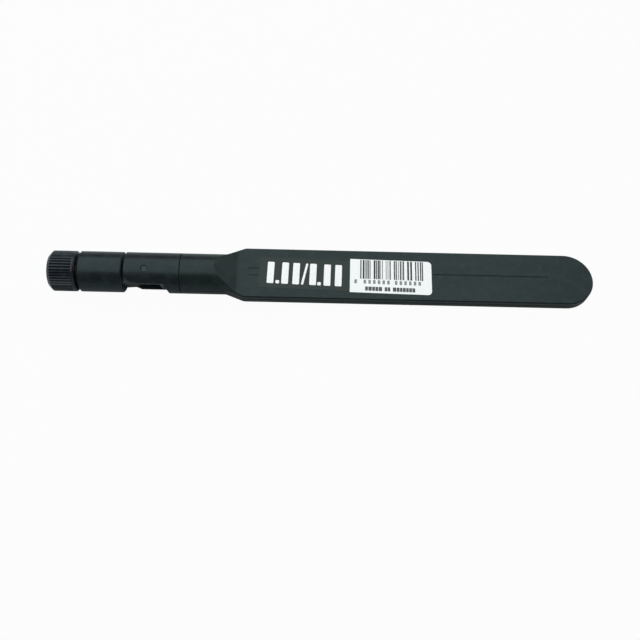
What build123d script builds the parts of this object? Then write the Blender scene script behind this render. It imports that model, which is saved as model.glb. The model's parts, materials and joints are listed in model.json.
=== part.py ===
from build123d import *
import math
import os

# Dual-band paddle antenna with a tilting knuckle and a reverse-polarity coaxial plug.
# Millimetres. +X runs along the antenna from the mouth of the coupling nut to the tip, the origin is on the
# axis at that mouth, and +Z is the printed face of the paddle. The arm is straight, as at joint angle 0.

# Whole antenna
overall_length = 195.0
barrel_radius = 7.25
seam_bevel = 0.15
seam_height = 0.35
same_place = 0.01

# Knurled knob
knob_length = 9.75
knob_front_bevel = 1.35
knob_rear_bevel = 0.5
ridge_count = 42
ridge_depth = 0.38
ridge_groove_width = 0.72
ridge_end = 8.75
knob_web = 0.5
web_hole_clearance = 0.35
knob_to_barrel_gap = 0.55

# Coupling nut, with the minor diameter of a 1/4-36 UNS thread
nut_across_flats = 8.0
thread_radius = 2.85
thread_length = 3.6
relief_radius = 3.25
lip_length = 1.6
nut_running_clearance = 0.1

# Coaxial plug
shaft_radius = 2.65
sleeve_radius = 2.3
sleeve_length = 1.1
sleeve_setback = 0.2
insulator_radius = 1.75
insulator_length = 6.5
insulator_recess = 0.2
contact_radius = 0.62
socket_radius = 0.47
socket_depth = 4.0
socket_slit = 0.2
gasket_radius = 2.8
gasket_thickness = 0.5
ring_thickness = 0.5
ring_radius = 3.15
ring_gap = 1.4
ring_groove_radius = 2.2
press_radius = 3.2
press_setback = 0.4
press_length = 4.4
stem_radius = 1.6
stem_length = 4.0
ferrule_wall = 0.4
ferrule_length = 3.4

# Base barrel and its tongue
base_length = 16.0
base_front_bevel = 0.9
base_rear_bevel = 0.4
ferrule_room = 0.2
hinge_gap = 0.6
pin_from_shoulder = 8.0
tongue_thickness = 7.6
tongue_end_radius = 3.6
heel_from_pin = 3.2
heel_depth = 4.9
heel_rise = 0.4
heel_rear_slant = 1.4
cable_way_radius = 1.2
cable_way_mouth = 2.4

# Knuckle fork
knuckle_roll = 15.5
fork_length = 19.8
slot_side_clearance = 0.2
slot_back_clearance = 0.4
slot_end_from_pin = 4.95
slot_end_bevel = 0.2
relief_depth = 5.1
relief_end_from_pin = 6.6
relief_runout = 1.5
nose_end_depth = 3.4
nose_ramp_end_from_pin = 2.55
fork_end_bevel = 0.35
spigot_radius = 5.4
spigot_length = 5.6
pin_radius = 1.2
pin_running_clearance = 0.05
pin_end_recess = 0.45

# Paddle
neck_length = 12.1
ramp_length = 7.9
ramp_blend = 7.0
ramp_blend_run = 3.0
flare_inset = 0.1
plate_thickness = 4.4
plate_width = 19.8
shoulder_start_half_width = 6.7
shoulder_start_from_neck = 2.6
shoulder_length = 7.9
shoulder_fillet = 3.0
face_edge_bevel = 0.35
back_edge_bevel = 0.6
spigot_end_room = 0.4
cavity_start_from_neck = 3.5
cavity_wall = 2.4
cavity_depth = 2.2
sink_start = 137.3
sink_length = 41.4
sink_width = 0.5
sink_depth = 0.15
sink_offset = 0.62
mark_start = 70.5
mark_length = 3.8
mark_width = 0.45
mark_depth = 0.15
mark_offsets = (1.65, -1.2)

# Radiator board and feed
board_thickness = 0.6
board_side_room = 1.5
board_end_room = 2.7
board_from_shoulder = 0.8
copper_thickness = 0.05
feed_line_width = 1.2
feed_line_start = 6.0
element_width = 2.0
element_offset = 2.3
element_starts = (12.0, 38.0, 52.0, 78.0)
element_lengths = (22.0, 10.0, 22.0, 10.0)
link_width = 1.0
post_radius = 0.8
post_from_board_edge = 1.1
post_places = (16.0, 84.0)
cable_radius = 0.9
core_radius = 0.42
jacket_end_from_board = 1.5
core_on_board = 7.0
ground_solder_size = 2.6
feed_solder_size = 1.8
solder_height = 1.0
solder_round = 0.4

# Labels
film_length = 32.5
film_width = 12.3
film_thickness = 0.06
film_start = 74.5
film_offset = 0.2
film_turn = -1.7
sticker_length = 29.35
sticker_width = 13.45
sticker_thickness = 0.08
sticker_start = 107.1
sticker_offset = -0.4
sticker_turn = -1.1
sticker_corner = 1.5

# Stations along the axis, each one worked out from the lengths above
nut_length = knob_length - knob_web
base_front = knob_length + knob_to_barrel_gap
base_shoulder = base_front + base_length
pin_x = base_shoulder + pin_from_shoulder
fork_front = base_shoulder + hinge_gap
fork_rear = fork_front + fork_length
spigot_end = fork_rear + spigot_length
neck_end = fork_rear + neck_length
ramp_end = neck_end + ramp_length
sleeve_front = thread_length + sleeve_setback
sleeve_shoulder = sleeve_front + sleeve_length
lip_front = nut_length - lip_length
ring_rear = lip_front - nut_running_clearance
ring_front = ring_rear - ring_thickness
insulator_front = sleeve_front + insulator_recess
insulator_rear = insulator_front + insulator_length
press_front = base_front + press_setback
press_rear = press_front + press_length
stem_end = press_rear + stem_length
slot_end = pin_x + slot_end_from_pin
shoulder_start = neck_end + shoulder_start_from_neck
shoulder_end = shoulder_start + shoulder_length
cavity_start = neck_end + cavity_start_from_neck
board_start = shoulder_end + board_from_shoulder
jacket_end = board_start - jacket_end_from_board
core_end = board_start + core_on_board

# Radii and heights worked out from the sizes above
lip_radius = shaft_radius + nut_running_clearance
web_hole_radius = shaft_radius + web_hole_clearance
nose_radius = pin_x - fork_front
relief_drop = barrel_radius - relief_depth
slot_half_width = tongue_thickness / 2 + slot_side_clearance
slot_back = tongue_end_radius + slot_back_clearance
half_thickness = plate_thickness / 2
half_width = plate_width / 2
shoulder_rise = half_width - shoulder_start_half_width
shoulder_share = (barrel_radius - shoulder_start_half_width) / shoulder_rise
flare_start = shoulder_start + shoulder_share * shoulder_length
board_bottom = -cavity_depth / 2
board_top = board_bottom + board_thickness
tip_centre = overall_length - half_width
board_length = tip_centre - board_end_room - board_start
board_width = 2 * (half_width - cavity_wall - board_side_room)
post_offset = board_width / 2 - post_from_board_edge
beyond = 2 * barrel_radius


def turned(*profile):
    """Turns a closed outline of (x, radius) points about the X axis."""
    return revolve(make_face(Polyline(*profile, close=True)), axis=Axis.X)


def rod(radius, start, end):
    """A round bar on the X axis."""
    return turned((start, 0), (start, radius), (end, radius), (end, 0))


def tube(inner, outer, start, end):
    """A round tube on the X axis."""
    return turned((start, inner), (start, outer), (end, outer), (end, inner))


def block(x, y, z):
    """A box between two limits along each axis."""
    size = [high - low for low, high in (x, y, z)]
    centre = [(high + low) / 2 for low, high in (x, y, z)]
    return Pos(*centre) * Box(*size)


def knurl_groove():
    """One straight groove of the knob's grip, at the top of the knob."""
    top = barrel_radius + ridge_depth
    half = ridge_groove_width * (top - barrel_radius + ridge_depth) / (2 * ridge_depth)
    outline = Polyline((-half, top), (half, top), (0, barrel_radius - ridge_depth), close=True)
    return extrude(Plane.YZ * make_face(outline), amount=ridge_end)


def knurled_knob():
    """The grip: straight ridges, a smooth rear collar and a hexagon socket for the nut."""
    front = barrel_radius - knob_front_bevel
    rear = barrel_radius - knob_rear_bevel
    body = turned(
        (0, 0),
        (0, front),
        (knob_front_bevel, barrel_radius),
        (knob_length - knob_rear_bevel, barrel_radius),
        (knob_length, rear),
        (knob_length, 0),
    )
    body -= [Rot(X=360 * i / ridge_count) * knurl_groove() for i in range(ridge_count)]
    body -= hexagon(nut_length)
    return body - rod(web_hole_radius, 0, knob_length)


def hexagon(length):
    """The nut's hexagon, from the mouth."""
    outline = RegularPolygon(nut_across_flats / 2, side_count=6, major_radius=False)
    return extrude(Plane.YZ * outline, amount=length)


def coupling_nut():
    """The nut: thread bore, relief for the retaining ring and a rear lip that the ring pulls on."""
    bore = turned(
        (0, 0),
        (0, thread_radius),
        (thread_length, thread_radius),
        (thread_length, relief_radius),
        (lip_front, relief_radius),
        (lip_front, lip_radius),
        (nut_length, lip_radius),
        (nut_length, 0),
    )
    return hexagon(nut_length) - bore


def connector_body():
    """The turned brass body: front sleeve, ring groove, press section and crimp stem."""
    groove_front = ring_front - nut_running_clearance
    groove_rear = ring_rear + nut_running_clearance
    return turned(
        (sleeve_front, insulator_radius),
        (sleeve_front, sleeve_radius),
        (sleeve_shoulder, sleeve_radius),
        (sleeve_shoulder, shaft_radius),
        (groove_front, shaft_radius),
        (groove_front, ring_groove_radius),
        (groove_rear, ring_groove_radius),
        (groove_rear, shaft_radius),
        (press_front, shaft_radius),
        (press_front, press_radius),
        (press_rear, press_radius),
        (press_rear, stem_radius),
        (stem_end, stem_radius),
        (stem_end, cable_radius),
        (insulator_rear, cable_radius),
        (insulator_rear, insulator_radius),
    )


def retaining_ring():
    """The open spring ring that ties the nut to the connector body."""
    ring = tube(ring_groove_radius, ring_radius, ring_front, ring_rear)
    opening = block((ring_front, ring_rear), (-ring_gap / 2, ring_gap / 2), (0, 2 * ring_radius))
    return ring - opening


def sealing_gasket():
    """The ring that seals the joint, on the sleeve and against the body's shoulder."""
    return tube(sleeve_radius, gasket_radius, sleeve_shoulder - gasket_thickness, sleeve_shoulder)


def connector_insulator():
    """The insulator between the body and the contact."""
    return tube(contact_radius, insulator_radius, insulator_front, insulator_rear)


def centre_contact():
    """The slit socket contact of a reverse-polarity plug."""
    socket_end = insulator_front + socket_depth
    pin = rod(contact_radius, insulator_front, insulator_rear)
    pin -= rod(socket_radius, insulator_front, socket_end)
    slit = (-socket_slit / 2, socket_slit / 2)
    return pin - block((insulator_front, socket_end), slit, (-contact_radius, contact_radius))


def crimp_ferrule():
    """The sleeve crimped round the stem."""
    return tube(stem_radius, stem_radius + ferrule_wall, stem_end - ferrule_length, stem_end)


def tongue():
    """The base's tongue: a rounded end about the pin, and a lower heel that meets the shoulder."""
    heel_x = pin_x - heel_from_pin
    root = base_shoulder - base_rear_bevel
    outline = Polyline(
        (root, tongue_end_radius),
        (pin_x, tongue_end_radius),
        (pin_x, -tongue_end_radius),
        (heel_x + heel_rear_slant, -tongue_end_radius),
        (heel_x, heel_rise - heel_depth),
        (root, -heel_depth),
        close=True,
    )
    side = make_face(outline) + Pos(pin_x, 0) * Circle(tongue_end_radius)
    return extrude(side, amount=tongue_thickness / 2, both=True)


def base_barrel():
    """The fixed barrel with its tongue, bored for the plug, the pins and the cable."""
    body = turned(
        (base_front, 0),
        (base_front, barrel_radius - base_front_bevel),
        (base_front + base_front_bevel, barrel_radius),
        (base_shoulder - base_rear_bevel, barrel_radius),
        (base_shoulder, barrel_radius - base_rear_bevel),
        (base_shoulder, 0),
    )
    body += tongue()
    tongue_tip = pin_x + tongue_end_radius
    body -= rod(press_radius, base_front, press_rear)
    body -= rod(stem_radius + ferrule_wall + ferrule_room, press_rear, stem_end + ferrule_room)
    body -= rod(cable_way_radius, stem_end, tongue_tip)
    way = (-cable_way_radius, cable_way_radius)
    body -= block((pin_x - cable_way_mouth, tongue_tip), (-beyond, 0), way)
    body -= Pos(pin_x, 0, 0) * Cylinder(pin_radius + pin_running_clearance, tongue_thickness)
    return Rot(X=knuckle_roll) * body


def ear_relief():
    """What is cut away under the ears, so that the arm can fold down past the base."""
    relief_end = pin_x + relief_end_from_pin
    nose_x = pin_x - math.sqrt(nose_radius**2 - nose_end_depth**2)
    middle_depth = nose_end_depth / 2
    middle_x = pin_x - math.sqrt(nose_radius**2 - middle_depth**2)
    nose = ThreePointArc((fork_front, 0), (middle_x, -middle_depth), (nose_x, -nose_end_depth))
    rest = Polyline(
        (nose_x, -nose_end_depth),
        (pin_x - nose_ramp_end_from_pin, -relief_depth),
        (relief_end, -relief_depth),
        (relief_end + 2 * relief_runout, -relief_depth - 2 * relief_drop),
        (relief_end + 2 * relief_runout, -beyond),
        (fork_front - hinge_gap, -beyond),
        (fork_front - hinge_gap, 0),
        (fork_front, 0),
    )
    return extrude(make_face(nose + rest), amount=beyond, both=True)


def fork_slot():
    """The slot between the ears, closed at the back and bevelled where it meets the relief."""
    slot = block(
        (fork_front - hinge_gap, slot_end),
        (-beyond, slot_back),
        (-slot_half_width, slot_half_width),
    )
    bevel = Polyline(
        (slot_end, slot_end_bevel - relief_depth),
        (slot_end + slot_end_bevel, -relief_depth),
        (slot_end + slot_end_bevel, -beyond),
        (slot_end, -beyond),
        close=True,
    )
    return slot + extrude(make_face(bevel), amount=slot_half_width, both=True)


def knuckle_fork():
    """The arm's fork: two ears with rounded noses round the tongue, and a spigot into the paddle."""
    body = rod(barrel_radius, fork_front, fork_rear)
    body = chamfer(body.edges().sort_by(Axis.X)[0], fork_end_bevel)
    body = chamfer(body.edges().sort_by(Axis.X)[-1], seam_bevel)
    body += rod(spigot_radius, fork_rear, spigot_end)
    body -= ear_relief()
    body -= fork_slot()
    body -= rod(cable_way_radius, pin_x, spigot_end)
    body -= Pos(pin_x, 0, 0) * Cylinder(pin_radius, beyond)
    return Rot(X=knuckle_roll) * body


def hinge_pin(side):
    """A short pin from one ear into the tongue, on the side given as 1 or -1."""
    inner = cable_way_radius + pin_running_clearance
    outer = barrel_radius - pin_end_recess
    pin = Pos(pin_x, 0, (inner + outer) / 2) * Cylinder(pin_radius, outer - inner)
    pin = chamfer(pin.edges().sort_by(Axis.Z)[-1], seam_bevel)
    return Rot(X=knuckle_roll) * Rot(X=0 if side > 0 else 180) * pin


def hinge_pin_upper():
    """The pin on the side of the printed face."""
    return hinge_pin(1)


def hinge_pin_lower():
    """The pin on the side of the plain face."""
    return hinge_pin(-1)


def blade_outline():
    """The blade seen from above: a waist out of the neck, straight sides and a half-round tip."""
    outline = Polyline(
        (neck_end, -shoulder_start_half_width),
        (shoulder_start, -shoulder_start_half_width),
        (shoulder_end, -half_width),
        (tip_centre, -half_width),
        (tip_centre, half_width),
        (shoulder_end, half_width),
        (shoulder_start, shoulder_start_half_width),
        (neck_end, shoulder_start_half_width),
        close=True,
    )
    face = make_face(outline)
    corners = [v for v in face.vertices() if abs(v.X - shoulder_end) < same_place]
    return fillet(corners, shoulder_fillet) + Pos(tip_centre, 0) * Circle(half_width)


def blade():
    """The flat blade, with a small bevel along the printed face and a larger one along the back."""
    body = extrude(blade_outline(), amount=half_thickness, both=True)
    body = chamfer(body.edges().group_by(Axis.Z)[-1], face_edge_bevel)
    return chamfer(body.edges().group_by(Axis.Z)[0], back_edge_bevel)


def neck():
    """The round neck, which widens with the shoulders and is cut by a ramp that blends into each face."""
    blend_end = ramp_end + ramp_blend_run
    body = rod(barrel_radius, fork_rear, flare_start)
    body = chamfer(body.edges().sort_by(Axis.X)[0], seam_bevel)
    narrow_end = Plane.YZ.offset(flare_start) * Circle(barrel_radius)
    wide_end = Plane.YZ.offset(blend_end) * Ellipse(half_width - flare_inset, barrel_radius)
    body += loft([narrow_end, wide_end], ruled=True)
    outline = Polyline(
        (fork_rear, barrel_radius),
        (neck_end, barrel_radius),
        (ramp_end, half_thickness),
        (blend_end, half_thickness),
        (blend_end, -half_thickness),
        (ramp_end, -half_thickness),
        (neck_end, -barrel_radius),
        (fork_rear, -barrel_radius),
        close=True,
    )
    side = make_face(outline)
    foot = [v for v in side.vertices() if abs(v.X - ramp_end) < same_place]
    side = fillet(foot, ramp_blend)
    return body & extrude(Plane.XZ * side, amount=beyond, both=True)


def face_groove(start, length, offset, width, depth):
    """A shallow straight groove in the printed face."""
    y = (offset - width / 2, offset + width / 2)
    return block((start, start + length), y, (half_thickness - depth, half_thickness + depth))


def hollow():
    """The room inside the paddle: the fork's spigot, the cable and the board."""
    room = rod(spigot_radius, fork_rear, spigot_end + spigot_end_room)
    room += rod(cable_way_radius, spigot_end, cavity_start + cable_radius)
    inside = half_width - cavity_wall
    height = (-cavity_depth / 2, cavity_depth / 2)
    narrow = shoulder_start_half_width - cavity_wall
    room += block((cavity_start, shoulder_end), (-narrow, narrow), height)
    room += block((shoulder_end, tip_centre), (-inside, inside), height)
    return room + Pos(tip_centre, 0, 0) * Cylinder(inside, cavity_depth)


def seam_groove():
    """The shallow groove that runs round the paddle where its two shells meet."""
    neck_outline = Pos((fork_rear + ramp_end) / 2, 0) * Rectangle(ramp_end - fork_rear, 2 * barrel_radius)
    outline = neck_outline + blade_outline()
    core = extrude(offset(outline, amount=-seam_bevel, kind=Kind.INTERSECTION), amount=seam_bevel, both=True)
    reach = (-beyond, beyond)
    band = block((fork_rear, overall_length + seam_bevel), reach, (-seam_bevel, seam_bevel))
    return Pos(0, 0, seam_height) * (band - core)


def paddle():
    """The whole paddle before it is parted into two shells."""
    return neck() + blade() - hollow() - seam_groove()


def parted(side):
    """One half of the paddle, on the side given as 1 or -1."""
    z = sorted((seam_height, side * beyond))
    return paddle() & block((fork_rear, overall_length), (-beyond, beyond), z)


def board_posts():
    """Four six-sided posts inside the front shell that hold the board down."""
    posts = []
    for place in post_places:
        for side in (-1, 1):
            height = cavity_depth / 2 - board_top
            foot = Pos(board_start + place, side * post_offset, board_top)
            posts.append(foot * extrude(RegularPolygon(post_radius, side_count=6), amount=height))
    return posts


def front_shell():
    """The printed half of the paddle, with its moulded grooves and board posts."""
    shell = parted(1)
    shell -= face_groove(sink_start, sink_length, sink_offset, sink_width, sink_depth)
    for offset in mark_offsets:
        shell -= face_groove(mark_start, mark_length, offset, mark_width, mark_depth)
    return shell + board_posts()


def rear_shell():
    """The plain half of the paddle."""
    return parted(-1)


def antenna_board():
    """The radiator board, on the floor of the rear shell."""
    y = (-board_width / 2, board_width / 2)
    return block((board_start, board_start + board_length), y, (board_bottom, board_top))


def radiator_copper():
    """The copper on the board: a feed line with a pair of strips at each element."""
    z = (board_top, board_top + copper_thickness)
    start = board_start + feed_line_start
    end = board_start + element_starts[-1] + element_lengths[-1]
    copper = block((start, end), (-feed_line_width / 2, feed_line_width / 2), z)
    reach = element_offset + element_width / 2
    for place, length in zip(element_starts, element_lengths):
        first = board_start + place
        for side in (-1, 1):
            y = sorted((side * (reach - element_width), side * reach))
            copper += block((first, first + length), y, z)
        copper += block((first, first + link_width), (-reach, reach), z)
    return copper


def coax_cable():
    """The cable's jacket, straight from the plug through the knuckle to the board."""
    return rod(cable_radius, insulator_rear, jacket_end)


def coax_core():
    """The bared core of the cable, over the end of the board."""
    return rod(core_radius, jacket_end, core_end)


def solder(centre, size):
    """A mound of solder on the board, round the cable's core."""
    x = (centre - size / 2, centre + size / 2)
    y = (-size / 2, size / 2)
    low = board_top + copper_thickness
    mound = block(x, y, (low, low + solder_height))
    mound = fillet(mound.edges().group_by(Axis.Z)[-1], solder_round)
    return mound - rod(core_radius, jacket_end, core_end)


def ground_solder():
    """The mound that ties the cable's braid to the board."""
    return solder(board_start + ground_solder_size, ground_solder_size)


def feed_solder():
    """The mound that ties the cable's core to the feed line."""
    return solder(core_end, feed_solder_size)


def label(length, width, thickness, corner):
    """A flat label with its left edge at X 0, rounded at its right corners."""
    face = Pos(length / 2, 0) * Rectangle(length, width)
    if corner > 0:
        face = fillet(face.vertices().group_by(Axis.X)[-1], corner)
    return extrude(face, amount=thickness)


def band_label():
    """The dark film label near the neck."""
    place = Pos(film_start, film_offset, half_thickness) * Rot(Z=film_turn)
    return place * label(film_length, film_width, film_thickness, 0)


def code_label():
    """The white paper label beside it."""
    place = Pos(sticker_start, sticker_offset, half_thickness) * Rot(Z=sticker_turn)
    return place * label(sticker_length, sticker_width, sticker_thickness, sticker_corner)


PIECES = (
    knurled_knob,
    coupling_nut,
    connector_body,
    retaining_ring,
    sealing_gasket,
    connector_insulator,
    centre_contact,
    crimp_ferrule,
    base_barrel,
    coax_cable,
    knuckle_fork,
    hinge_pin_upper,
    hinge_pin_lower,
    front_shell,
    rear_shell,
    antenna_board,
    radiator_copper,
    coax_core,
    ground_solder,
    feed_solder,
    band_label,
    code_label,
)

os.makedirs("parts", exist_ok=True)
for piece in PIECES:
    export_step(piece(), f"parts/{piece.__name__}.step")
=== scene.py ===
"""Finishes the dual-band paddle antenna: surfaces, print, thread, cable, stage and camera."""

import json
import math
import random

import bpy
from bpy.props import FloatProperty, FloatVectorProperty, IntProperty, PointerProperty
from bpy.types import Operator, Panel, PropertyGroup
from mathutils import Matrix, Vector


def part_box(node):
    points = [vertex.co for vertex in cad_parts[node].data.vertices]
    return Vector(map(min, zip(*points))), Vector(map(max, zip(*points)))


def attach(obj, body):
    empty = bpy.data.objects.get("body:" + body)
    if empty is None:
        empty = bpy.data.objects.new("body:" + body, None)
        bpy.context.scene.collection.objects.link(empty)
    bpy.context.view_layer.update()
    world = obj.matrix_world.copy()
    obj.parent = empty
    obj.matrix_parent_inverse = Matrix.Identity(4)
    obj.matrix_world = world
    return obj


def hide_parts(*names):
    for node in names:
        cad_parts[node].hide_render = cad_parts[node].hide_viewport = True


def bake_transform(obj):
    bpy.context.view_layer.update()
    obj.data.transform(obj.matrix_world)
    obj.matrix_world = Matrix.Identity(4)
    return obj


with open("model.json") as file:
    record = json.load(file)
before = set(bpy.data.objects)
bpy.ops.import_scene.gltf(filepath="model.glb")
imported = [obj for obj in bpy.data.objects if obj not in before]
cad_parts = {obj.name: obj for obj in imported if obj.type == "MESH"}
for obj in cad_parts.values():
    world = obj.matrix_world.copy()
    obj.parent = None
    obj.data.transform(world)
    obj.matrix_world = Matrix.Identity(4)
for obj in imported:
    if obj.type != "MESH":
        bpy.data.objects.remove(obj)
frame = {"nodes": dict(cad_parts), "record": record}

bl_info = {
    "name": "Paddle Antenna",
    "version": (1, 0, 0),
    "blender": (4, 5, 0),
    "location": "3D View > Sidebar > Antenna",
    "description": "Finishes a flat dual-band antenna with a tilting knuckle",
    "category": "Object",
}

MM = 0.001
# A wave texture of scale 1 repeats after this length
WAVE_TURN = math.tau / 20
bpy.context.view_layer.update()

# Heights, boxes and places that the print, the nut, the cable and the floor take from the frame
FACE_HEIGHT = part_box("band_label")[1].z
STICKER_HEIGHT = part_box("code_label")[1].z
BARREL_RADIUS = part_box("base_barrel")[1].z
NUT_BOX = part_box("coupling_nut")
CABLE_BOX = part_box("coax_cable")
BLADE_BACK = frame["record"]["mounts"][1]["pos_m"][2]
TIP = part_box("rear_shell")[1].x
HINGE_X = frame["record"]["behaviour"]["joints"][1]["pos_m"][0]
# The joint between the fork and the neck, and the end of the neck's round part, where it rests on the floor
JOINT_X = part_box("front_shell")[0].x
NECK_END = 0.0588
# The bevel of the paddle's back edge. The tip rests on the floor where it starts.
BACK_BEVEL = 0.0006

# Grooves of the printed face that are darkened with painted shade: start, end and place across, in
# millimetres
GROOVES = ((70.5, 74.3, 1.65), (137.3, 178.7, 0.62))
# How strong the painted shade in the grooves is, next to the joint's
GROOVE_SHADE = 0.35
# Half the width of a line of painted shade, and how far it fades out past that
JOINT_LINE = (0.1 * MM, 0.18 * MM)
GROOVE_LINE = (0.15 * MM, 0.25 * MM)
# How far a groove's painted shade fades out past its ends
GROOVE_FADE = 0.3 * MM
# What the painted shade adds to the roughness of the plastic
PAINTED_SHADE_ROUGHNESS = 0.55
# The share of the dust's colour in the patches of duller plastic, and the most that a speck adds
PATCH_DUST = 0.16
SPECK_DUST = 0.35
# Depth of the mould's grain as it is drawn
GRAIN_DEPTH = 0.007 * MM

# How far each label is turned on the face, in degrees
FILM_TURN = -1.7
STICKER_TURN = -1.1

# Places of the large marks along the film label, in millimetres from its middle
BLOCK_PLACES = (-12.1, -6.9, -2.95, 3.1, 8.2, 12.2)
DOT_PLACES = (-9.5, 5.4)
BAR_PLACE = 0.1
# The slanted bar's width in millimetres, and how far it leans to the right for its height
BAR_WIDTH = 0.8
BAR_LEAN = 0.18

# The bars of the code label, in millimetres from its middle
BARS_TOP = 6.5
BARS_START = -11.0
BARS_END = 11.6
# How many modules wide a bar may be, and the gap after it
BAR_MODULES = (1, 2, 2, 3)
GAP_MODULES = (1, 2, 2, 5)
# The small blocks under the bars, in millimetres: where each group starts and how many it has, the distance
# from one block to the next, their size, and how far their middle is under the foot of the bars
SMALL_GROUPS = ((-12.6, 1), (-9.3, 6), (1.9, 6))
SMALL_PITCH = 1.69
SMALL_SIZE = (0.9, 1.6)
SMALL_DROP = 1.15
# The lowest row, in millimetres: its start and its place down the label, the number of blocks in each group,
# their widths and height, the gap between blocks, and what more there is between groups
BOLD_START = -9.2
BOLD_ROW = -5.1
BOLD_GROUPS = (5, 2, 7)
BOLD_WIDTHS = (0.9, 1.0, 1.2)
BOLD_HEIGHT = 1.65
BOLD_GAP = 0.16
GROUP_GAP = 0.8

# The soft box: its distance from its target, its angle back from straight above that, how far the target is
# from the station towards the knob, and its size. Lengths are in metres.
BOX_DISTANCE = 0.9
BOX_LEAN = math.radians(16)
BOX_SHIFT = 0.66
BOX_SIZE = (2.2, 1.74)
# The side panel, in metres: its place from the station, and its size
PANEL_PLACE = Vector((1.0, 0.58, 0.6))
PANEL_SIZE = (0.9, 0.9)
# Both lamps are slightly cool
LAMP_TINT = (0.97, 1.0, 1.0)
# Width of the camera's sensor in millimetres
SENSOR = 36.0


def linear(code):
    """Turns an sRGB hex colour into the linear values that a shader takes."""
    values = []
    for start in (1, 3, 5):
        value = int(code[start : start + 2], 16) / 255
        values.append(value / 12.92 if value <= 0.04045 else ((value + 0.055) / 1.055) ** 2.4)
    return values + [1.0]


def colour(name, description, code):
    """A colour setting whose default is an sRGB hex value."""
    return FloatVectorProperty(
        name=name, description=description, subtype="COLOR", size=4, min=0.0, max=1.0, default=linear(code)
    )


def length(name, description, millimetres):
    """A length setting, given in millimetres and kept in metres."""
    return FloatProperty(
        name=name, description=description, subtype="DISTANCE", unit="LENGTH", precision=5,
        default=millimetres * MM,
    )


def number(name, description, value, subtype="NONE"):
    """A setting that is a plain number."""
    return FloatProperty(name=name, description=description, subtype=subtype, default=value)


def angle(name, description, degrees):
    """An angle setting, given in degrees and kept in radians."""
    return FloatProperty(
        name=name, description=description, subtype="ANGLE", unit="ROTATION", default=math.radians(degrees)
    )


class AntennaPlastic(PropertyGroup):
    """Colours and texture sizes of the moulded plastic."""

    paddle: colour("Paddle", "The plastic of the paddle", "#151b1b")
    barrel: colour("Barrel", "The plastic of the barrel and the knuckle", "#14191d")
    knob: colour("Knob", "The plastic of the knurled knob", "#13161b")
    # Lighter than the barrel: the pins' own grey with a painted highlight for the glint on their ends
    pin: colour("Pin", "The plastic of the hinge pins", "#2b3235")
    dust: colour("Dust", "Fine dust and scuffs on the plastic", "#3a4444")
    # Painted shade: a near black drawn into the joint before the neck and into the grooves, where shade
    # falls
    painted_shade: colour("Painted shade", "The grime in the joint and the grooves", "#040505")
    tint: colour("Reflection", "The tint of the plastic's reflections", "#d6f2f4")
    knob_tint: colour("Knob's reflection", "The tint of the knob's reflections", "#d8e4f4")
    gloss: number("Gloss", "Level of the grained plastic's reflection", 0.27)
    knob_gloss: number("Knob's gloss", "Level of the knob's reflection", 0.38)
    grain: length("Grain", "Spacing of the mould's spark-eroded grain", 0.35)
    patch: length("Patch", "Spacing of the uneven gloss", 3.2)
    speck: length("Speck", "Spacing of the specks of dust", 0.9)


class AntennaPrint(PropertyGroup):
    """Colours and sizes of the two labels and their print."""

    film: colour("Film", "The dark film label", "#171d1c")
    film_tint: colour("Film's reflection", "The tint of the film's reflections", "#dcf2ec")
    white_ink: colour("White ink", "The print on the film label", "#f3f5f5")
    paper: colour("Paper", "The code label", "#f2f5f5")
    black_ink: colour("Black ink", "The bars on the code label", "#14171a")
    faint_ink: colour("Faint ink", "The row of small blocks under the bars", "#747a7e")
    bold_ink: colour("Bold ink", "The lowest row on the code label", "#383d40")
    ink: length("Ink", "Thickness of the printed ink", 0.012)
    mark_height: length("Mark height", "Height of the large marks on the film label", 8.6)
    mark_width: length("Mark width", "Width of the large marks on the film label", 2.4)
    bar_height: length("Bar height", "Height of the bars on the code label", 7.7)
    bar_module: length("Bar module", "Width of the narrowest bar", 0.22)


class AntennaPlug(PropertyGroup):
    """Finish of the coaxial plug and its thread."""

    nickel: colour("Nickel", "Nickel plating", "#b9b4aa")
    gold: colour("Gold", "Gold plating", "#d6b266")
    steel: colour("Steel", "Spring steel", "#a3a4a8")
    silicone: colour("Silicone", "The gasket", "#8f2f24")
    insulator: colour("Insulator", "The plug's insulator", "#e8e8e2")
    pitch: length("Thread pitch", "Distance between the thread's turns", 0.7056)
    depth: length("Thread depth", "Depth of the thread", 0.32)


class AntennaCable(PropertyGroup):
    """The cable and what it feeds."""

    jacket: colour("Jacket", "The cable's jacket", "#5a3a28")
    core: colour("Core", "The bared core of the cable", "#e4e4e0")
    board: colour("Board", "The radiator board", "#1f4a2c")
    copper: colour("Copper", "The etched copper", "#c2805a")
    solder: colour("Solder", "The solder joints", "#b4b5b8")
    bend: length("Bend", "Length of cable that bends at the hinge, each side of the pin", 3.6)
    hinge: length("Hinge", "Distance of the hinge pin from the mouth of the nut", HINGE_X / MM)


class AntennaStage(PropertyGroup):
    """Floor, lamps and camera."""

    floor: colour("Floor", "The pale floor", "#b8c0c2")
    backdrop: colour("Backdrop", "What is seen of the room", "#fefefe")
    lamp: number("Lamp", "Power of the large soft lamp", 19.0, "POWER")
    panel: number("Panel", "Power of the panel at the side", 2.1, "POWER")
    fill: number("Fill", "Strength of the room's light", 0.23)
    glare: number("Glare", "How far the white room is seen through the floor", 0.97)
    distance: length("Distance", "From the camera to the antenna's axis", 285.8)
    station: length("Station", "Place on the axis that faces the camera", 104.1)
    tilt: angle("Tilt", "Angle between the view and the printed face's normal", 28.0)
    lean: angle("Lean", "How far the camera stands towards the knob's end", 2.58)
    slope: angle("Slope", "Downward slope of the antenna in the picture", 1.29)
    station_x: number("Station across", "Where the station is, in pixels", 341.31)
    station_y: number("Station down", "Where the station is, in pixels", 277.07)
    frame_size: IntProperty(name="Frame", description="Side of the picture in pixels", default=640)
    lens: number("Lens", "Focal length in millimetres", 44.4)


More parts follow.
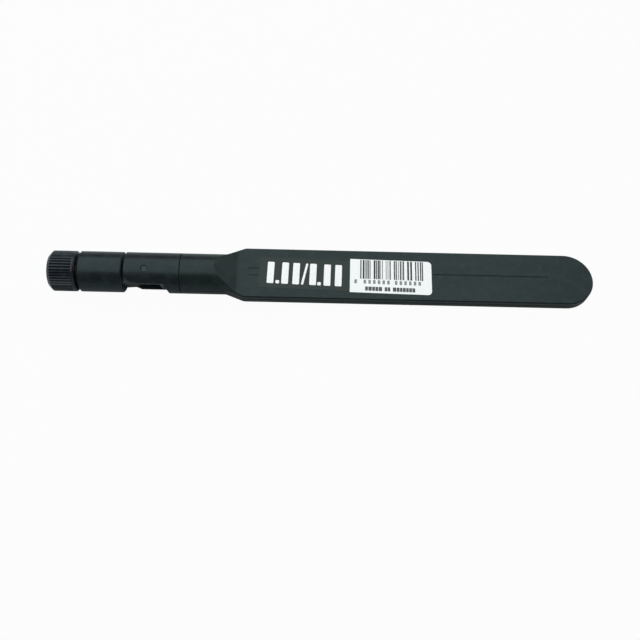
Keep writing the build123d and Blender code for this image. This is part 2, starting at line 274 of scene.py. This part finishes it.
def add(tree, kind, inputs=None, **settings):
    """Adds a node. inputs gives each socket, by name or place, a value or the output that feeds it."""
    item = tree.nodes.new(kind)
    for name, value in settings.items():
        setattr(item, name, value)
    for name, value in (inputs or {}).items():
        if isinstance(value, bpy.types.NodeSocket):
            tree.links.new(value, item.inputs[name])
        else:
            item.inputs[name].default_value = value
    return item


def per(size):
    """The scale of a pattern whose features are this far apart, in metres."""
    return 1.0 / size


def shaded(name, tree_of, **values):
    """A material with one shader. tree_of(tree, place) gives the outputs that feed its sockets."""
    made = bpy.data.materials.new(name)
    made.use_nodes = True
    tree = made.node_tree
    tree.nodes.clear()
    sockets = {socket.replace("_", " "): value for socket, value in values.items()}
    place = add(tree, "ShaderNodeTexCoord").outputs["Object"]
    sockets.update(tree_of(tree, place))
    shader = add(tree, "ShaderNodeBsdfPrincipled", sockets)
    add(tree, "ShaderNodeOutputMaterial", {"Surface": shader.outputs["BSDF"]})
    return made


def clouded(name, tone, share, patch, roughness, grain, depth, **values):
    """A material whose tone and gloss drift in soft patches, over a fine raised grain."""
    # The tone drifts between itself and this share of it, and the gloss between two values of roughness
    other = [value * share for value in tone[:3]] + [1.0]

    def tree_of(tree, place):
        cloud = add(tree, "ShaderNodeTexNoise", {"Vector": place, "Scale": per(patch), "Detail": 3.0})
        part = add(
            tree, "ShaderNodeMapRange", {"Value": cloud.outputs["Fac"], "From Min": 0.35, "From Max": 0.65}
        )
        shade = add(
            tree, "ShaderNodeMix", {0: part.outputs["Result"], 6: tone, 7: other}, data_type="RGBA"
        )
        low, high = roughness
        gloss = add(
            tree, "ShaderNodeMapRange", {"Value": part.outputs["Result"], "To Min": low, "To Max": high}
        )
        fine = add(tree, "ShaderNodeTexNoise", {"Vector": place, "Scale": per(grain), "Detail": 1.0})
        bump = add(tree, "ShaderNodeBump", {"Height": fine.outputs["Fac"], "Distance": depth})
        return {
            "Base Color": shade.outputs[2],
            "Roughness": gloss.outputs["Result"],
            "Normal": bump.outputs["Normal"],
        }

    return shaded(name, tree_of, **values)


def band(tree, coordinate, middle, reach, fade):
    """A mask that is 1 where a coordinate is within reach of the middle, and fades out past that."""
    apart = add(tree, "ShaderNodeMath", {0: coordinate, 1: middle}, operation="SUBTRACT")
    apart = add(tree, "ShaderNodeMath", {0: apart.outputs[0]}, operation="ABSOLUTE")
    fall = {"From Min": reach, "From Max": reach + fade, "To Min": 1.0, "To Max": 0.0}
    return add(tree, "ShaderNodeMapRange", {"Value": apart.outputs[0], **fall}).outputs["Result"]


def painted_shade_mask(tree, place):
    """A mask of painted shade over the joint before the neck and over the printed face's grooves."""
    parts = add(tree, "ShaderNodeSeparateXYZ", {"Vector": place}).outputs
    upper = add(tree, "ShaderNodeMath", {0: parts["Z"], 1: 0.0}, operation="GREATER_THAN").outputs[0]
    mask = band(tree, parts["X"], JOINT_X, *JOINT_LINE)
    for start, end, offset in GROOVES:
        along = band(tree, parts["X"], (start + end) / 2 * MM, (end - start) / 2 * MM, GROOVE_FADE)
        across = band(tree, parts["Y"], offset * MM, *GROOVE_LINE)
        spot = add(tree, "ShaderNodeMath", {0: along, 1: across}, operation="MULTIPLY").outputs[0]
        spot = add(tree, "ShaderNodeMath", {0: spot, 1: upper}, operation="MULTIPLY").outputs[0]
        spot = add(tree, "ShaderNodeMath", {0: spot, 1: GROOVE_SHADE}, operation="MULTIPLY").outputs[0]
        mask = add(tree, "ShaderNodeMath", {0: mask, 1: spot}, operation="MAXIMUM").outputs[0]
    return mask


def moulded_abs(name, tone, look, level, tint, roughness=(0.28, 0.35)):
    """Black ABS from a spark-eroded mould."""
    # The mould's grain makes it satin, so that it shows a soft grey sheen and no sharp reflection. Its gloss
    # is uneven in patches of a few millimetres, and handling has left pale dust and scuffs in it. The real
    # grain is about 0.03 mm and is drawn ten times as coarse, so that it shows. Painted shade darkens and
    # dulls the joint between the fork and the neck and two grooves, which draws them as fine dark lines.
    def tree_of(tree, place):
        cloud = add(tree, "ShaderNodeTexNoise", {"Vector": place, "Scale": per(look.patch), "Detail": 4.0})
        part = add(
            tree, "ShaderNodeMapRange", {"Value": cloud.outputs["Fac"], "From Min": 0.4, "From Max": 0.7}
        )
        dots = add(tree, "ShaderNodeTexNoise", {"Vector": place, "Scale": per(look.speck), "Detail": 5.0})
        dust = add(
            tree,
            "ShaderNodeMapRange",
            {"Value": dots.outputs["Fac"], "From Min": 0.6, "From Max": 0.75, "To Max": SPECK_DUST},
        )
        haze = add(
            tree,
            "ShaderNodeMath",
            {0: part.outputs["Result"], 1: PATCH_DUST, 2: dust.outputs["Result"]},
            operation="MULTIPLY_ADD",
        )
        # Painted shade darkens and dulls the joint and the grooves
        painted_shade = painted_shade_mask(tree, place)
        shade = add(tree, "ShaderNodeMix", {0: haze.outputs[0], 6: tone, 7: look.dust}, data_type="RGBA")
        shade = add(tree, "ShaderNodeMix", {0: painted_shade, 6: shade.outputs[2], 7: look.painted_shade}, data_type="RGBA")
        low, high = roughness
        gloss = add(
            tree, "ShaderNodeMapRange", {"Value": part.outputs["Result"], "To Min": low, "To Max": high}
        )
        gloss = add(
            tree,
            "ShaderNodeMath",
            {0: painted_shade, 1: PAINTED_SHADE_ROUGHNESS, 2: gloss.outputs["Result"]},
            operation="MULTIPLY_ADD",
        )
        fine = add(tree, "ShaderNodeTexNoise", {"Vector": place, "Scale": per(look.grain), "Detail": 1.0})
        bump = add(tree, "ShaderNodeBump", {"Height": fine.outputs["Fac"], "Distance": GRAIN_DEPTH})
        return {
            "Base Color": shade.outputs[2],
            "Roughness": gloss.outputs[0],
            "Normal": bump.outputs["Normal"],
        }

    return shaded(name, tree_of, IOR=1.52, Specular_Tint=tint, Specular_IOR_Level=level)


def turned_metal(name, tone, roughness, ring):
    """Metal turned on a lathe."""
    # The tool leaves fine rings round the axis, which draw the reflections out into bands along it
    def tree_of(tree, place):
        rings = add(
            tree,
            "ShaderNodeTexWave",
            {"Vector": place, "Scale": WAVE_TURN * per(ring), "Distortion": 0.4},
            wave_type="BANDS",
            bands_direction="X",
        )
        bump = add(
            tree, "ShaderNodeBump", {"Height": rings.outputs["Fac"], "Distance": 0.003 * MM, "Strength": 0.6}
        )
        cloud = add(tree, "ShaderNodeTexNoise", {"Vector": place, "Scale": per(2.0 * MM), "Detail": 3.0})
        gloss = add(
            tree,
            "ShaderNodeMapRange",
            {"Value": cloud.outputs["Fac"], "To Min": roughness - 0.06, "To Max": roughness + 0.1},
        )
        return {"Roughness": gloss.outputs["Result"], "Normal": bump.outputs["Normal"]}

    return shaded(name, tree_of, Base_Color=tone, Metallic=1.0)


def dress(names, made):
    """Gives CAD nodes a material."""
    for name in names:
        mesh = frame["nodes"][name].data
        mesh.materials.clear()
        mesh.materials.append(made)


def new_piece(name, points, faces, made, body=None):
    """A mesh piece with a material that rides on a body."""
    mesh = bpy.data.meshes.new(name)
    mesh.from_pydata(points, [], faces)
    mesh.materials.append(made)
    piece = bpy.data.objects.new(name, mesh)
    bpy.context.scene.collection.objects.link(piece)
    if body:
        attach(piece, body)
    return piece


class ANTENNA_OT_plastic(Operator):
    """Finishes the knob, the barrel, the knuckle, its pins and the paddle's shells"""

    bl_idname = "antenna.plastic"
    bl_label = "Moulded plastic"

    def execute(self, context):
        look = context.scene.antenna_plastic
        barrel = moulded_abs("moulded_abs_barrel", look.barrel, look, look.gloss, look.tint)
        dress(("base_barrel", "knuckle_fork"), barrel)
        # The pins' lighter grey paints in the highlight on their ends
        pin = moulded_abs("moulded_abs_pin", look.pin, look, look.gloss, look.tint)
        dress(("hinge_pin_upper", "hinge_pin_lower"), pin)
        paddle = moulded_abs("moulded_abs_paddle", look.paddle, look, look.gloss, look.tint)
        dress(("front_shell", "rear_shell"), paddle)
        # The knob's mould was polished, so its ridges catch narrow highlights
        knob = moulded_abs(
            "moulded_abs_knob", look.knob, look, look.knob_gloss, look.knob_tint, roughness=(0.18, 0.26)
        )
        dress(("knurled_knob",), knob)
        return {"FINISHED"}


def rounded_rectangle(centre, size, corner, steps=4):
    """The outline of a rectangle with rounded corners, counter-clockwise."""
    points = []
    for index, (sx, sy) in enumerate(((1, 1), (-1, 1), (-1, -1), (1, -1))):
        middle_x = centre[0] + sx * (size[0] / 2 - corner)
        middle_y = centre[1] + sy * (size[1] / 2 - corner)
        for step in range(steps + 1):
            turn = math.radians(90 * index + 90 * step / steps)
            points.append((middle_x + corner * math.cos(turn), middle_y + corner * math.sin(turn)))
    return points


def leaning(outline, lean):
    """Leans an outline to the right by a share of each point's height."""
    return [(x + lean * y, y) for x, y in outline]


def printed(name, outlines, place, thickness, made):
    """Prints flat outlines as thin raised ink on a label that the arm carries."""
    points = []
    faces = []
    for outline in outlines:
        count = len(outline)
        first = len(points)
        points += [place @ Vector((x, y, 0.0)) for x, y in outline]
        points += [place @ Vector((x, y, thickness)) for x, y in outline]
        faces.append([first + i for i in reversed(range(count))])
        faces.append([first + count + i for i in range(count)])
        for i in range(count):
            j = (i + 1) % count
            faces.append([first + i, first + j, first + count + j, first + count + i])
    new_piece(name, points, faces, made, "arm")


def label_place(node, height, turn):
    """The frame of a label: its middle, turned as the label is."""
    low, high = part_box(node)
    middle = Vector(((low.x + high.x) / 2, (low.y + high.y) / 2, height))
    return Matrix.Translation(middle) @ Matrix.Rotation(math.radians(turn), 4, "Z")


class ANTENNA_OT_labels(Operator):
    """Finishes the two labels and prints plain marks on them"""

    bl_idname = "antenna.labels"
    bl_label = "Labels and print"

    def execute(self, context):
        look = context.scene.antenna_print
        # Polyester film, a little glossier than the plastic, with slow waves where it doesn't lie quite flat
        film = clouded(
            "polyester_label_film", look.film, share=1.25, patch=5.0 * MM, roughness=(0.3, 0.38),
            grain=4.0 * MM, depth=0.02 * MM, Specular_IOR_Level=0.37, Specular_Tint=look.film_tint,
        )
        # Coated paper, matt and white, with the faint tone of its fibres
        paper = clouded(
            "coated_label_paper", look.paper, share=0.94, patch=0.4 * MM, roughness=(0.55, 0.65),
            grain=0.3 * MM, depth=0.003 * MM, IOR=1.45,
        )
        dress(("band_label",), film)
        dress(("code_label",), paper)
        self.band_marks(look)
        self.code_marks(look)
        return {"FINISHED"}

    def band_marks(self, look):
        """Two groups of upright blocks with dots, and a slanted bar between them."""
        place = label_place("band_label", FACE_HEIGHT, FILM_TURN)
        # Screen-printed white, opaque and slightly uneven in cover
        ink = clouded(
            "screen_printed_white_ink", look.white_ink, share=0.9, patch=0.6 * MM, roughness=(0.4, 0.5),
            grain=0.3 * MM, depth=0.002 * MM, IOR=1.48,
        )
        foot = -look.mark_height / 2
        dot = 1.3 * MM
        corner = 0.35 * MM
        bar_corner = 0.3 * MM
        size = (look.mark_width, look.mark_height)
        outlines = [rounded_rectangle((x * MM, 0.0), size, corner) for x in BLOCK_PLACES]
        for x in DOT_PLACES:
            outlines.append(rounded_rectangle((x * MM, foot + dot / 2), (dot, dot), corner))
        bar = rounded_rectangle((BAR_PLACE * MM, 0.0), (BAR_WIDTH * MM, look.mark_height), bar_corner)
        outlines.append(leaning(bar, BAR_LEAN))
        printed("band_print", outlines, place, look.ink, ink)

    def code_marks(self, look):
        """Bars of uneven width, a row of small blocks and a row of bold blocks."""
        place = label_place("code_label", STICKER_HEIGHT, STICKER_TURN)
        order = random.Random(7)
        bar_corner = 0.03 * MM
        small_corner = 0.2 * MM
        bold_corner = 0.15 * MM
        top = BARS_TOP * MM
        foot = top - look.bar_height
        bars = []
        x = BARS_START * MM
        while x < BARS_END * MM:
            width = order.choice(BAR_MODULES) * look.bar_module
            middle = (x + width / 2, (top + foot) / 2)
            bars.append(rounded_rectangle(middle, (width, look.bar_height), bar_corner, 1))
            x += width + order.choice(GAP_MODULES) * look.bar_module
        ink = self.wax("thermal_transfer_black", look.black_ink)
        printed("code_bars", bars, place, look.ink, ink)
        digits = []
        width, height = SMALL_SIZE
        for first, count in SMALL_GROUPS:
            for index in range(count):
                middle = ((first + SMALL_PITCH * index) * MM, foot - SMALL_DROP * MM)
                digits.append(rounded_rectangle(middle, (width * MM, height * MM), small_corner, 2))
        ink = self.wax("thermal_transfer_faint", look.faint_ink)
        printed("code_digits", digits, place, look.ink, ink)
        words = []
        x = BOLD_START * MM
        for count in BOLD_GROUPS:
            for _ in range(count):
                width = order.choice(BOLD_WIDTHS) * MM
                middle = (x + width / 2, BOLD_ROW * MM)
                words.append(rounded_rectangle(middle, (width, BOLD_HEIGHT * MM), bold_corner, 2))
                x += width + BOLD_GAP * MM
            x += GROUP_GAP * MM
        ink = self.wax("thermal_transfer_bold", look.bold_ink)
        printed("code_words", words, place, look.ink, ink)

    def wax(self, name, tone):
        """Thermal-transfer ink in one strength."""
        # A thin even wax that is slightly shinier than the paper, and paler where it has worn
        return clouded(
            name, tone, share=1.3, patch=0.6 * MM, roughness=(0.4, 0.5), grain=0.3 * MM, depth=0.002 * MM,
            IOR=1.48,
        )


def lathe_piece(name, rings, made, body):
    """A closed mesh from rings of points, the last joined back to the first."""
    count = len(rings[0])
    points = [point for ring in rings for point in ring]
    faces = []
    for i in range(len(rings)):
        following = (i + 1) % len(rings)
        for j in range(count):
            k = (j + 1) % count
            faces.append((i * count + j, i * count + k, following * count + k, following * count + j))
    return new_piece(name, points, faces, made, body)


class ANTENNA_OT_plug(Operator):
    """Finishes the plug's pieces and cuts the thread in its nut"""

    bl_idname = "antenna.plug"
    bl_label = "Coaxial plug"

    def execute(self, context):
        look = context.scene.antenna_plug
        nickel = turned_metal("turned_nickel_plated_brass", look.nickel, roughness=0.28, ring=0.08 * MM)
        gold = turned_metal("turned_gold_plated_brass", look.gold, roughness=0.24, ring=0.08 * MM)
        # The retaining ring is drawn wire, and its drawing lines run round the axis as a lathe's rings do
        steel = turned_metal("drawn_spring_steel", look.steel, roughness=0.35, ring=0.05 * MM)
        # Moulded silicone rubber, dull and slightly mottled, with a bloom that scatters its reflections
        rubber = clouded(
            "moulded_silicone_rubber", look.silicone, share=0.75, patch=0.8 * MM, roughness=(0.55, 0.7),
            grain=0.2 * MM, depth=0.01 * MM, IOR=1.41,
        )
        # Turned fluoropolymer, milky and waxy, so that it lights up from inside at its edges
        polymer = clouded(
            "turned_fluoropolymer", look.insulator, share=0.9, patch=1.0 * MM, roughness=(0.4, 0.5),
            grain=0.15 * MM, depth=0.004 * MM, IOR=1.38, Subsurface_Weight=0.2, Subsurface_Scale=0.5 * MM,
        )
        dress(("connector_body", "centre_contact"), gold)
        dress(("crimp_ferrule",), nickel)
        dress(("retaining_ring",), steel)
        dress(("sealing_gasket",), rubber)
        dress(("connector_insulator",), polymer)
        self.threaded_nut(look, nickel)
        return {"FINISHED"}

    def threaded_nut(self, look, made):
        """The hexagon nut with its inside thread, turned as one closed mesh."""
        steps = 72
        rows_per_turn = 10
        low, high = NUT_BOX
        flats = high.z
        crest = 2.85 * MM
        thread_end = 3.6 * MM
        relief = 3.25 * MM
        lip = 2.75 * MM
        lip_start = high.x - 1.6 * MM
        rows = int(thread_end / look.pitch * rows_per_turn)
        stations = [low.x + thread_end * i / rows for i in range(rows + 1)]
        rings = []

        def ring(x, radius):
            """One ring of points, at a radius that may depend on the angle."""
            turns = [math.tau * j / steps for j in range(steps)]
            rings.append([(x, radius(t) * math.cos(t), radius(t) * math.sin(t)) for t in turns])

        def outside(turn):
            """Distance of the hexagon's side from the axis, with corners along Y."""
            return flats / math.cos(turn % (math.pi / 3) - math.pi / 6)

        ring(low.x, outside)
        for x in stations:
            ring(x, lambda turn, x=x: crest + self.thread_depth(look, x, turn, thread_end))
        ring(thread_end, lambda turn: relief)
        ring(lip_start, lambda turn: relief)
        ring(lip_start, lambda turn: lip)
        ring(high.x, lambda turn: lip)
        ring(high.x, outside)
        piece = lathe_piece("coupling_nut_threaded", rings, made, "coupling")
        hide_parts("coupling_nut")

    def thread_depth(self, look, x, turn, end):
        """How far the thread's groove is cut at a place on the bore, with a countersunk mouth."""
        groove_share = 0.85
        runout = 0.5 * look.pitch
        countersink = 0.35 * MM
        phase = (x / look.pitch - turn / math.tau) % 1.0
        groove = max(0.0, 1.0 - abs(phase - 0.5) * 2.0 / groove_share)
        fade = min(1.0, (end - x) / runout)
        mouth = max(0.0, countersink - x)
        return max(look.depth * groove * fade, mouth)


class ANTENNA_OT_cable(Operator):
    """Makes the cable and finishes the board, its copper and the solder"""

    bl_idname = "antenna.cable"
    bl_label = "Cable and board"

    def execute(self, context):
        look = context.scene.antenna_cable
        # Glass laminate under green lacquer: glossy, and faintly uneven from the cloth inside it
        board = clouded(
            "lacquered_glass_laminate", look.board, share=0.8, patch=0.9 * MM, roughness=(0.25, 0.35),
            grain=0.45 * MM, depth=0.006 * MM, IOR=1.55,
        )
        # Etched foil that has dulled a little in air, without a lathe's rings
        copper = clouded(
            "etched_copper_foil", look.copper, share=0.8, patch=1.5 * MM, roughness=(0.3, 0.45),
            grain=0.2 * MM, depth=0.002 * MM, Metallic=1.0,
        )
        # Flowed solder: bright, with a slightly frosted skin where it set
        solder = clouded(
            "flowed_tin_solder", look.solder, share=0.8, patch=0.5 * MM, roughness=(0.2, 0.4),
            grain=0.25 * MM, depth=0.01 * MM, Metallic=1.0,
        )
        # Extruded core insulation, translucent white and waxy
        core = clouded(
            "extruded_white_core", look.core, share=0.92, patch=1.0 * MM, roughness=(0.35, 0.45),
            grain=0.3 * MM, depth=0.003 * MM, IOR=1.38,
        )
        dress(("antenna_board",), board)
        dress(("radiator_copper",), copper)
        dress(("ground_solder", "feed_solder"), solder)
        dress(("coax_core",), core)
        self.cable(look)
        return {"FINISHED"}

    def cable(self, look):
        """A round tube on the axis, with closed ends, between the barrel and the arm."""
        sides = 20
        spacing = 0.45 * MM
        low, high = CABLE_BOX
        radius = high.z
        rows = int((high.x - low.x) / spacing)
        points = []
        for i in range(rows + 1):
            x = low.x + (high.x - low.x) * i / rows
            for j in range(sides):
                turn = math.tau * j / sides
                points.append((x, radius * math.cos(turn), radius * math.sin(turn)))
        faces = [tuple(range(sides)), tuple(reversed(range(rows * sides, (rows + 1) * sides)))]
        for i in range(rows):
            for j in range(sides):
                k = (j + 1) % sides
                faces.append((i * sides + k, i * sides + j, (i + 1) * sides + j, (i + 1) * sides + k))
        # Extruded fluoropolymer jacket: smooth brown, with soft patches of gloss
        made = clouded(
            "extruded_fluoropolymer_jacket", look.jacket, share=0.8, patch=1.2 * MM, roughness=(0.28, 0.4),
            grain=0.5 * MM, depth=0.006 * MM, IOR=1.38,
        )
        tube = new_piece("coax_cable_jacket", points, faces, made)
        tube.data.shade_smooth()
        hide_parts("coax_cable")
        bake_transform(tube)


def lamp(name, place, target, size, power, tint):
    """A rectangular soft lamp that faces its target."""
    light = bpy.data.lights.new(name, "AREA")
    light.shape = "RECTANGLE"
    light.size, light.size_y = size
    light.energy = power
    light.color = tint
    item = bpy.data.objects.new(name, light)
    item.location = place
    item.rotation_euler = (target - place).to_track_quat("-Z", "Y").to_euler()
    item.visible_camera = False
    bpy.context.scene.collection.objects.link(item)


class ANTENNA_OT_stage(Operator):
    """Sets up the floor, the soft light and the camera"""

    bl_idname = "antenna.stage"
    bl_label = "Floor, light and camera"

    def execute(self, context):
        look = context.scene.antenna_stage
        self.floor(look)
        self.room(look)
        # The soft box hangs over the printed face, and ends past the tip, where the face grows darker
        away = Vector((0.0, BOX_DISTANCE * math.sin(BOX_LEAN), BOX_DISTANCE * math.cos(BOX_LEAN)))
        middle = Vector((look.station - BOX_SHIFT, 0.0, 0.0))
        lamp("soft_box", middle + away, middle, BOX_SIZE, look.lamp, LAMP_TINT)
        # A panel beyond the tip keeps the ramp, which faces it, nearly as light as the face
        middle = Vector((look.station, 0.0, 0.0))
        lamp("side_panel", middle + PANEL_PLACE, middle, PANEL_SIZE, look.panel, LAMP_TINT)
        self.camera(look)
        context.scene.view_settings.view_transform = "Standard"
        return {"FINISHED"}

    def floor(self, look):
        """The floor passes under the end of the neck and the tip, where the antenna rests."""
        reach = 2.5
        neck_end = Vector((NECK_END, 0.0, -BARREL_RADIUS))
        tip = Vector((TIP - BACK_BEVEL, 0.0, BLADE_BACK))
        fall = (tip.z - neck_end.z) / (tip.x - neck_end.x)
        corners = [(-reach, -reach), (reach, -reach), (reach, reach), (-reach, reach)]
        points = [(x, y, neck_end.z + fall * (x - neck_end.x)) for x, y in corners]
        made = self.painted(look)
        mesh = bpy.data.meshes.new("floor")
        mesh.from_pydata(points, [], [(0, 1, 2, 3)])
        mesh.materials.append(made)
        plane = bpy.data.objects.new("floor", mesh)
        # The lamps light an arm that has swung below the board too
        plane.visible_shadow = False
        bpy.context.scene.collection.objects.link(plane)

    def painted(self, look):
        """Matt painted board that the camera sees faintly before the white room, with its shadows kept."""
        # Paint rolled on a board: flat and even, with a slow drift in tone. The rest is see-through to the
        # camera, so that a folded arm, which swings below the board, is seen whole.
        made = clouded(
            "matt_painted_board", look.floor, share=0.98, patch=40 * MM, roughness=(0.85, 0.95),
            grain=1.0 * MM, depth=0.01 * MM,
        )
        tree = made.node_tree
        result = tree.nodes["Material Output"]
        lit = result.inputs["Surface"].links[0].from_socket
        path = add(tree, "ShaderNodeLightPath")
        share = add(
            tree, "ShaderNodeMath", {0: path.outputs["Is Camera Ray"], 1: look.glare}, operation="MULTIPLY"
        )
        clear = add(tree, "ShaderNodeBsdfTransparent")
        both = add(tree, "ShaderNodeMixShader", {0: share.outputs[0], 1: lit, 2: clear.outputs["BSDF"]})
        tree.links.new(both.outputs["Shader"], result.inputs["Surface"])
        return made

    def room(self, look):
        """A white room to the camera, and a plain dim light on the object and in its reflections."""
        # The white shows through anything clear too. Reflections see the dim light, which keeps the sides of
        # the plastic dark.
        world = bpy.data.worlds.new("room")
        world.use_nodes = True
        tree = world.node_tree
        tree.nodes.clear()
        path = add(tree, "ShaderNodeLightPath")
        seen = add(
            tree,
            "ShaderNodeMath",
            {0: path.outputs["Is Camera Ray"], 1: path.outputs["Is Transmission Ray"]},
            operation="MAXIMUM",
        )
        level = add(
            tree, "ShaderNodeMapRange", {"Value": seen.outputs[0], "To Min": look.fill, "To Max": 1.0}
        )
        white = add(
            tree, "ShaderNodeBackground", {"Color": look.backdrop, "Strength": level.outputs["Result"]}
        )
        add(tree, "ShaderNodeOutputWorld", {"Surface": white.outputs["Background"]})
        bpy.context.scene.world = world

    def camera(self, look):
        """Places the camera so that the station on the axis falls on its pixel with the antenna's slope."""
        focal = look.lens / SENSOR * look.frame_size
        sideways = Vector((0.0, -math.sin(look.tilt), math.cos(look.tilt)))
        axis = Vector((1.0, 0.0, 0.0))
        away = math.cos(look.lean) * sideways - math.sin(look.lean) * axis
        axis = math.cos(look.lean) * axis + math.sin(look.lean) * sideways
        across = (look.station_x - look.frame_size / 2) / focal
        up = (look.frame_size / 2 - look.station_y) / focal
        seen = Vector((across, up, -1.0)).normalized()
        along = Vector((math.cos(look.slope), -math.sin(look.slope), 0.0))
        along = (along - along.dot(seen) * seen).normalized()
        in_camera = Matrix((seen, along, seen.cross(along))).transposed()
        in_world = Matrix((-away, axis, (-away).cross(axis))).transposed()
        turn = in_world @ in_camera.transposed()
        data = bpy.data.cameras.new("camera")
        data.lens = look.lens
        data.sensor_width = SENSOR
        data.clip_start = 0.01
        item = bpy.data.objects.new("camera", data)
        station = Vector((look.station, 0.0, 0.0))
        item.matrix_world = Matrix.Translation(station + look.distance * away) @ turn.to_4x4()
        bpy.context.scene.collection.objects.link(item)
        bpy.context.scene.camera = item


class ANTENNA_PT_panel(Panel):
    """The antenna's steps in the sidebar"""

    bl_label = "Paddle antenna"
    bl_space_type = "VIEW_3D"
    bl_region_type = "UI"
    bl_category = "Antenna"

    def draw(self, context):
        for step in OPERATORS:
            self.layout.operator(step.bl_idname)
        for name in GROUPS:
            box = self.layout.box()
            settings = getattr(context.scene, name)
            for key in settings.bl_rna.properties.keys():
                if key not in ("rna_type", "name"):
                    box.prop(settings, key)


GROUPS = {
    "antenna_plastic": AntennaPlastic,
    "antenna_print": AntennaPrint,
    "antenna_plug": AntennaPlug,
    "antenna_cable": AntennaCable,
    "antenna_stage": AntennaStage,
}
OPERATORS = (ANTENNA_OT_plastic, ANTENNA_OT_labels, ANTENNA_OT_plug, ANTENNA_OT_cable, ANTENNA_OT_stage)


def register():
    """Registers the settings, the operators and the panel."""
    for group in GROUPS.values():
        bpy.utils.register_class(group)
    for step in OPERATORS:
        bpy.utils.register_class(step)
    bpy.utils.register_class(ANTENNA_PT_panel)
    for name, group in GROUPS.items():
        setattr(bpy.types.Scene, name, PointerProperty(type=group))


def unregister():
    """Takes everything off again."""
    for name in GROUPS:
        delattr(bpy.types.Scene, name)
    bpy.utils.unregister_class(ANTENNA_PT_panel)
    for step in reversed(OPERATORS):
        bpy.utils.unregister_class(step)
    for group in reversed(list(GROUPS.values())):
        bpy.utils.unregister_class(group)


def main():
    """Registers the add-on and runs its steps."""
    register()
    bpy.ops.antenna.plastic()
    bpy.ops.antenna.labels()
    bpy.ops.antenna.plug()
    bpy.ops.antenna.cable()
    bpy.ops.antenna.stage()


if __name__ == "__main__":
    main()
